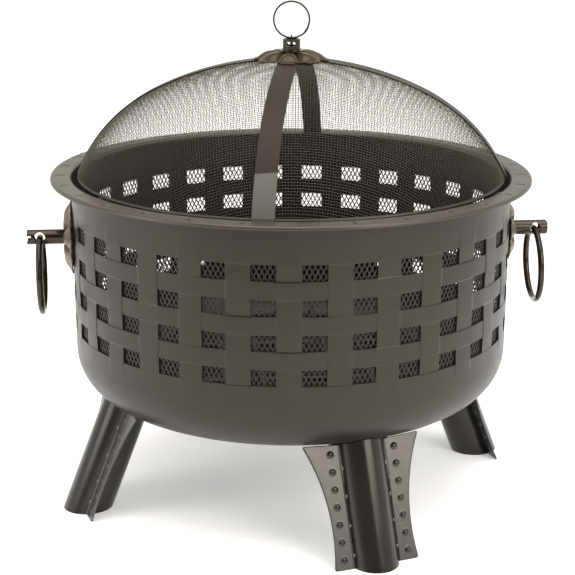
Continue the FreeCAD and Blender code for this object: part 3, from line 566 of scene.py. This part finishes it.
def make_cloth(name, turned, finish, stands_for, draw):
    """One direction of the woven wires, each over one crossing wire and under the next, a little uneven."""
    limit = dome_length()
    count = int(limit / CLOTH_PITCH)
    points, faces = [], []
    for line in range(-count, count):
        offset = (line + 0.5) * CLOTH_PITCH
        half = math.sqrt(limit * limit - offset * offset)
        crossings = int(half / CLOTH_PITCH - 0.5)
        stops = [(-half, 0)]
        for crossing in range(-crossings - 1, crossings + 1):
            side = 1 if (line + crossing) % 2 else -1
            stops.append(((crossing + 0.5) * CLOTH_PITCH, -side if turned else side))
        stops.append((half, 0))
        stops = [stop for stop in stops if abs(stop[0]) <= half]
        path, ups = [], []
        shift = draw.uniform(-CLOTH_SLACK, CLOTH_SLACK)
        for along, side in stops:
            aside = offset + shift + draw.uniform(-CLOTH_SLACK, CLOTH_SLACK) / 2
            place = (along, aside) if turned else (aside, along)
            point, out = draped(*place, side * CLOTH_WIRE)
            path.append(point)
            ups.append(out)
        wire(path, CLOTH_WIRE, ups, 4, points=points, faces=faces)
    piece(name, points, faces, "spark_screen", finish, stands_for, sharp=180)


# ---------------------------------------------------------------- rosettes and cap

PETALS = 8
FLOWER_RADIUS = 51.5
FLOWER_GAUGE = 1.2
FLOWER_BORE = 3.2
BITE = 6.7
HOLLOW = 12.9
BITE_START = 34
ROSETTE_TURN = 10.5

# Reach and height of the pressed face, along the middle of a petal and along a groove.
PETAL = [
    (FLOWER_BORE, 5.8), (11.5, 5.8), (14, 9.5), (17, 11.7), (23, 12.2), (30, 11.7), (35, 10.5),
    (39, 8.6), (42, 6.6), (45, 4.4), (48, 2.7), (FLOWER_RADIUS, 1.7),
]
GROOVE = [(FLOWER_BORE, 5.8), (11.5, 5.8), (17, 8.4), (22, 7.8), (30, 5.8), (40, 2.8), (FLOWER_RADIUS, 1.3)]
FLOWER_ROWS = [FLOWER_BORE, 7, 10.5, 11.5, 12.2, 13, 14, 15, 16, 17, 18.5, 20.5, 23, 26, 29, 32]
FLOWER_ROWS += [34.5, 37, 39, 41, 43, 45, 47, 48.6, 49.9, 50.8, 51.3, FLOWER_RADIUS]


def through(points, place):
    """The height at a place of a smooth line through points."""
    slopes = []
    for index in range(len(points)):
        before, after = points[max(index - 1, 0)], points[min(index + 1, len(points) - 1)]
        slopes.append((after[1] - before[1]) / (after[0] - before[0]))
    index = max(number for number in range(len(points) - 1) if number == 0 or points[number][0] <= place)
    (start, low), (end, high) = points[index:index + 2]
    span = end - start
    share = (place - start) / span
    from_low = low + span * slopes[index] * share
    from_high = high - span * slopes[index + 1] * (1 - share)
    return from_low + (from_high - from_low) * smooth(share)


def flower_edge(off):
    """The flower's outline, at an angle from the middle of the hollow between two petals."""
    centre = FLOWER_RADIUS - BITE + HOLLOW
    inside = HOLLOW**2 - (centre * math.sin(math.radians(off))) ** 2
    if inside <= 0:
        return FLOWER_RADIUS
    hollow = centre * math.cos(math.radians(off)) - math.sqrt(inside)
    return min(FLOWER_RADIUS, hollow)


def make_flower(name, matrix, body, finish, node):
    around = PETALS * 28
    half = 180 / PETALS
    front, back = [], []
    for row in FLOWER_ROWS:
        for column in range(around):
            angle = 360 * column / around
            off = (angle % (2 * half)) - half
            squeeze = smooth((row - BITE_START) / (FLOWER_RADIUS - BITE_START))
            reach = row - squeeze * (FLOWER_RADIUS - flower_edge(off))
            groove = through(GROOVE, reach)
            swell = 1 - (1 - abs(off) / half) ** 2.5
            height = groove + (through(PETAL, reach) - groove) * swell
            height -= 0.5 * smooth((row - 50.2) / (FLOWER_RADIUS - 50.2))
            front.append(polar(reach, angle, max(height, 0.5)))
            back.append(polar(reach, angle, max(height - FLOWER_GAUGE, 0)))
    points, skin = sheet(front, back, grid(len(FLOWER_ROWS), around, around=True))
    skin = [tuple(reversed(face)) for face in skin]
    piece(name, placed(points, matrix), skin, body, finish, [node], sharp=65)


# ---------------------------------------------------------------- rings


def make_handle_ring(name, side, body):
    """A bent rod, butt-welded at its lowest point, hanging a little askew."""
    steps = 120
    middle = Vector((0, 0, -RING_RADIUS))
    askew = Matrix.Rotation(math.radians(RING_TWIST[side]), 4, "Z")
    askew = askew @ Matrix.Rotation(math.radians(RING_LEAN[side]), 4, "Y")
    hang = Matrix.Translation((side * HANDLE_X, 0, RING_TOP)) @ askew
    path, thick, ups = [], [], []
    for step in range(steps):
        angle = math.radians(90 + 360 * step / steps)
        out = Vector((0, math.cos(angle), math.sin(angle)))
        path.append(hang @ (middle + RING_RADIUS * out))
        ups.append(hang.to_3x3() @ out)
        off = abs(step - steps / 2)
        thick.append(RING_WIRE - (0.45 if off < 1 else 0))
    points, faces = wire(path, thick, ups, 20, closed=True)
    piece(f"{name}_rod", points, faces, body, gunmetal, [name], sharp=60)


def make_lift_ring():
    """A spring wire ring whose ends lap beside each other, low on the right."""
    lap = 34
    start = -50
    cross = 11
    steps = 132
    turn = Matrix.Rotation(math.radians(STRAP_TURN - 90), 4, "Z")
    middle = Vector((0, 0, EYE_HEIGHT + LIFT_RADIUS))
    path, ups, thick = [], [], []
    for step in range(steps + 1):
        share = step / steps
        angle = math.radians(start + (360 + lap) * share)
        from_end = (0.5 - abs(share - 0.5)) * (360 + lap)
        apart = 1 - smooth((from_end - lap) / cross)
        aside = 1.15 * apart * (1 if share > 0.5 else -1)
        spread = LIFT_RADIUS + 0.3 * apart * (1 if share > 0.5 else -1)
        thick.append(LIFT_WIRE * (0.4 + 0.58 * smooth(from_end / 14)))
        out = Vector((math.cos(angle), 0, math.sin(angle)))
        path.append(turn @ (middle + spread * out + Vector((0, aside, 0))))
        ups.append(turn.to_3x3() @ out)
    points, faces = wire(path, thick, ups, 12)
    piece("lift_ring_wire", points, faces, "lift_ring_body", gunmetal, ["lift_ring"], sharp=60)


# ---------------------------------------------------------------- legs

WING_FOOT = 28
WING_HEAD = 51
WING_CURVE = 265
WING_INNER_TOP = 155
WING_OUTER_TOP = 158.5
WING_CORNER = 3.5
DIMPLE_RADIUS = 4.3
DIMPLE_RISE = 2.1
DIMPLE_PITCH = 22.5
DIMPLE_INSET = 14
DIMPLE_START = 9
DIMPLES = 7
BEAD = 1.1

WING_BACK = WING_FACE - WING_GAUGE
WING_INNER = math.sqrt(TUBE_RADIUS**2 - WING_BACK**2)
WING_LOW = -WING_BACK * math.tan(math.radians(LEG_SPLAY))


def leg_matrix(index):
    turn = Matrix.Rotation(math.radians(LEG_START + LEG_TURN * index), 4, "Z")
    lean = Matrix.Rotation(math.radians(-LEG_SPLAY), 4, "Y")
    return turn @ Matrix.Translation((LEG_REACH, 0, 0)) @ lean


def wing_edge(up):
    """The wing's outer edge: a hollow arc from its foot to its head."""
    foot, head = Vector((WING_FOOT, WING_LOW)), Vector((WING_HEAD, WING_OUTER_TOP))
    chord = head - foot
    middle = (foot + head) / 2
    away = Vector((chord.y, -chord.x)).normalized()
    centre = middle + away * math.sqrt(WING_CURVE**2 - (chord.length / 2) ** 2)
    return centre.x - math.sqrt(WING_CURVE**2 - (up - centre.y) ** 2)


def corner_cut(gap):
    """How much a rounded corner takes off an edge, a distance from its end."""
    if gap >= WING_CORNER:
        return 0
    return WING_CORNER - math.sqrt(WING_CORNER**2 - (WING_CORNER - gap) ** 2)


def dimple(across, up):
    """Height of the pressed dimples over the wing's face."""
    nearest = min(max(round((up - DIMPLE_START) / DIMPLE_PITCH), 0), DIMPLES - 1)
    gap = math.hypot(across - DIMPLE_INSET, up - DIMPLE_START - nearest * DIMPLE_PITCH)
    if gap > DIMPLE_RADIUS:
        return 0
    return DIMPLE_RISE * (1 - (gap / DIMPLE_RADIUS) ** 2) ** 0.75


def make_wing(index, side, label):
    ends = [0, 0.25, 0.7, 1.3, 2.2, 3.5]
    length = WING_INNER_TOP - WING_LOW
    inner = [3.5 + (length - 7) * step / 130 for step in range(1, 130)]
    stations = ends + inner + [length - end for end in reversed(ends)]
    columns = 34
    front, back = [], []
    for station in stations:
        share = station / length
        for column in range(columns + 1):
            part = column / columns
            slope = (WING_OUTER_TOP - WING_INNER_TOP) * part * share
            up = WING_LOW + station + slope
            gap = min(station, length - station)
            wide = wing_edge(up) - corner_cut(gap)
            across = wide * part
            round_off = 0.35 * (1 - smooth(min(wide - across, gap) / 0.9))
            lip = BEAD * math.exp(-((across - 0.6) / 0.7) ** 2)
            height = dimple(across, up) + lip - round_off
            y = side * (WING_INNER + across)
            front.append((WING_FACE + height, y, up))
            back.append((WING_BACK + max(height - lip, 0), y, up))
    faces = grid(len(stations), columns + 1)
    if side < 0:
        faces = [tuple(reversed(face)) for face in faces]
    points, skin = sheet(front, back, faces)
    name = f"leg_{index + 1}_{label}_wing"
    points = placed(points, leg_matrix(index))
    piece(f"{name}_plate", points, skin, "fire_pit", wing_paint_painted_sheen, [name], sharp=50)


def make_pips(index):
    """Polished domes over the wings' pressed dimples."""
    points, faces = [], []
    rows, columns = 7, 20
    for side in (-1, 1):
        for number in range(DIMPLES):
            start = len(points)
            middle_up = DIMPLE_START + number * DIMPLE_PITCH
            for row in range(rows + 1):
                gap = DIMPLE_RADIUS * row / rows
                for column in range(columns):
                    angle = math.tau * column / columns
                    across = DIMPLE_INSET + gap * math.cos(angle)
                    up = middle_up + gap * math.sin(angle)
                    height = max(dimple(across, up), 0) + 0.12
                    points.append(Vector((WING_FACE + height, side * (WING_INNER + across), up)))
            ring = [tuple(start + corner for corner in face) for face in grid(rows + 1, columns, around=True)]
            ring = [face if side > 0 else tuple(reversed(face)) for face in ring]
            faces += [tuple(reversed(face)) for face in ring]
    points = placed(points, leg_matrix(index))
    piece(f"leg_{index + 1}_pips", points, faces, "fire_pit", pip_paint, sharp=180)


def make_welds_and_sheen_lines(index, draw):
    """Tack welds where the wings meet the tube, and a light line along each wing's inner edge: a painted highlight
    of the folded edge.
    """
    points, faces = [], []
    rows, columns = 6, 10
    for side in (-1, 1):
        for height in (12, 48, 88, 128):
            middle = Vector((WING_FACE + 0.2, side * (WING_INNER - 0.7), height + draw.uniform(-5, 5)))
            long = draw.uniform(2.0, 3.2)
            start = len(points)
            for row in range(rows + 1):
                lift = math.pi * row / rows
                for column in range(columns):
                    angle = math.tau * column / columns
                    wobble = 1 + draw.uniform(-0.12, 0.12)
                    off = Vector((
                        1.1 * math.sin(lift) * math.cos(angle) * wobble,
                        1.3 * math.sin(lift) * math.sin(angle) * wobble,
                        long * math.cos(lift),
                    ))
                    points.append(middle + off)
            faces += [tuple(start + corner for corner in face) for face in grid(rows + 1, columns, around=True)]
        # A light wire along each wing's inner edge: a painted highlight of the folded edge catching the light.
        path = [Vector((WING_FACE + 0.25, side * (WING_INNER + 0.35), up)) for up in (WING_LOW + 0.6, WING_INNER_TOP - 0.6)]
        wire(path, 0.42, [Vector((1, 0, 0))] * 2, 8, points=points, faces=faces)
    points = placed(points, leg_matrix(index))
    piece(f"leg_{index + 1}_welds", points, faces, "fire_pit", weld_and_sheen_metal, sharp=180)


# ---------------------------------------------------------------- making

def finish_cad_nodes():
    """Gives each carried-over CAD node the finish of its slot."""
    finishes = {
        "screen_clips": paint,
        "screen_rim": mesh_black,
        "long_strap": strap_bronze,
        "left_strap": strap_bronze,
        "right_strap": strap_bronze,
        "cap_disc": antique,
        "lift_post": gunmetal,
        "eye_bolt": gunmetal,
        "left_standoff": gunmetal,
        "right_standoff": gunmetal,
        "handle_spacers": gunmetal,
    }
    for name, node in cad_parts.items():
        finish = finishes.get(name)
        if finish is None:
            if name.startswith("leg_") and name[4].isdigit():
                finish = leg_paint
            elif name.startswith("grate"):
                finish = iron
            else:
                finish = zinc
        node.data.materials.clear()
        node.data.materials.append(finish)


draw = random.Random(7)
finish_cad_nodes()
make_bowl()
make_flange()
make_liner()
make_cloth("screen_warp", False, warp_wire, ["screen_mesh"], draw)
make_cloth("screen_weft", True, weft_wire_painted_sheen, ["screen_mesh"], draw)

strap_frame = Matrix.Rotation(math.radians(STRAP_TURN), 4, "Z")
cap_place = strap_frame @ Matrix.Translation((0, 0, CAP_BASE))
make_flower("cap_petals", cap_place, "spark_screen", antique, "screen_cap")
for handle_name, handle_side in (("left", -1), ("right", 1)):
    facing = Matrix.Rotation(math.radians(90 * handle_side), 4, "Y")
    seat = Matrix.Translation((handle_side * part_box("right_rosette")[0].x / MM, 0, HANDLE_HEIGHT)) @ facing
    seat = seat @ Matrix.Rotation(math.radians(-ROSETTE_TURN * handle_side), 4, "Z")
    rosette = f"{handle_name}_rosette"
    make_flower(f"{rosette}_petals", seat, "fire_pit", rosette_bronze, rosette)
    make_handle_ring(f"{handle_name}_ring", handle_side, f"{handle_name}_ring_body")
make_lift_ring()
for leg in range(4):
    make_wing(leg, -1, "left")
    make_wing(leg, 1, "right")
    make_pips(leg)
    make_welds_and_sheen_lines(leg, draw)

# ---------------------------------------------------------------- floor, light and camera


LIGHT_COLOUR = (1, 0.965, 0.915)


def make_floor():
    mesh = bpy.data.meshes.new("floor")
    far = 30
    mesh.from_pydata([(-far, -far, 0), (far, -far, 0), (far, far, 0), (-far, far, 0)], [], [(0, 1, 2, 3)])
    made = bpy.data.objects.new("floor", mesh)
    nodes = Nodes("floor_paper")
    nodes.shader.inputs["Base Color"].default_value = (0.92, 0.92, 0.91, 1)
    nodes.shader.inputs["Roughness"].default_value = 0.9
    nodes.shader.inputs["Emission Color"].default_value = (1, 1, 1, 1)
    nodes.shader.inputs["Emission Strength"].default_value = 0.33
    mesh.materials.append(nodes.material)
    bpy.context.scene.collection.objects.link(made)


def make_light(name, place, aim, wide, tall, power):
    light = bpy.data.lights.new(name, "AREA")
    light.shape = "RECTANGLE"
    light.size, light.size_y, light.energy = wide, tall, power
    light.color = LIGHT_COLOUR
    made = bpy.data.objects.new(name, light)
    made.location = place
    made.rotation_euler = (Vector(aim) - Vector(place)).to_track_quat("-Z", "Y").to_euler()
    bpy.context.scene.collection.objects.link(made)


def make_camera():
    """The camera stands before the bowl, a little left of square and looking down at it."""
    camera = bpy.data.cameras.new("camera")
    camera.lens = 94.26
    camera.sensor_width = 36
    camera.shift_x = -0.00535
    camera.clip_end = 100
    made = bpy.data.objects.new("camera", camera)
    made.location = (-0.2033, -2.0365, 0.8784)
    heading, pitch, roll = math.radians(84.3), math.radians(16.15), 0.0038
    flat = math.cos(pitch)
    ahead = Vector((flat * math.cos(heading), flat * math.sin(heading), -math.sin(pitch)))
    level = ahead.to_track_quat("-Z", "Y").to_matrix().to_4x4()
    made.rotation_euler = (level @ Matrix.Rotation(roll, 4, "Z")).to_euler()
    bpy.context.scene.collection.objects.link(made)
    bpy.context.scene.camera = made


def make_world():
    """A white studio, darker on the side that the camera looks from."""
    world = bpy.data.worlds.new("studio")
    world.use_nodes = True
    tree = world.node_tree
    nodes, links = tree.nodes, tree.links
    place = nodes.new("ShaderNodeTexCoord").outputs["Generated"]
    along = nodes.new("ShaderNodeVectorMath")
    along.operation = "DOT_PRODUCT"
    along.inputs[1].default_value = (-0.1, -0.98, -0.15)
    links.new(place, along.inputs[0])
    fade = nodes.new("ShaderNodeMapRange")
    fade.interpolation_type = "SMOOTHSTEP"
    for key, value in {"From Min": 0.1, "From Max": 0.95, "To Min": 1.0, "To Max": 0.06}.items():
        fade.inputs[key].default_value = value
    links.new(along.outputs["Value"], fade.inputs["Value"])
    seen = nodes.new("ShaderNodeLightPath").outputs["Is Camera Ray"]
    strength = nodes.new("ShaderNodeMath")
    strength.operation = "MAXIMUM"
    links.new(fade.outputs["Result"], strength.inputs[0])
    links.new(seen, strength.inputs[1])
    links.new(strength.outputs[0], nodes["Background"].inputs["Strength"])
    colour = nodes.new("ShaderNodeMix")
    colour.data_type = "RGBA"
    colour.inputs[6].default_value = (*LIGHT_COLOUR, 1)
    colour.inputs[7].default_value = (1, 1, 1, 1)
    links.new(seen, colour.inputs[0])
    links.new(colour.outputs[2], nodes["Background"].inputs["Color"])
    bpy.context.scene.world = world


make_world()
bpy.context.scene.view_settings.view_transform = "Standard"
make_floor()
make_light("left_box", (-2.6, -0.9, 1.2), (0, 0, 0.35), 1.2, 1.8, 30)
make_light("top_box", (0, -0.3, 2.6), (0, 0, 0), 2.4, 2.4, 60)
make_light("right_box", (1.32, -1.75, 1.31), (0.05, -0.28, 0.1), 1.3, 1.3, 32)
make_camera()
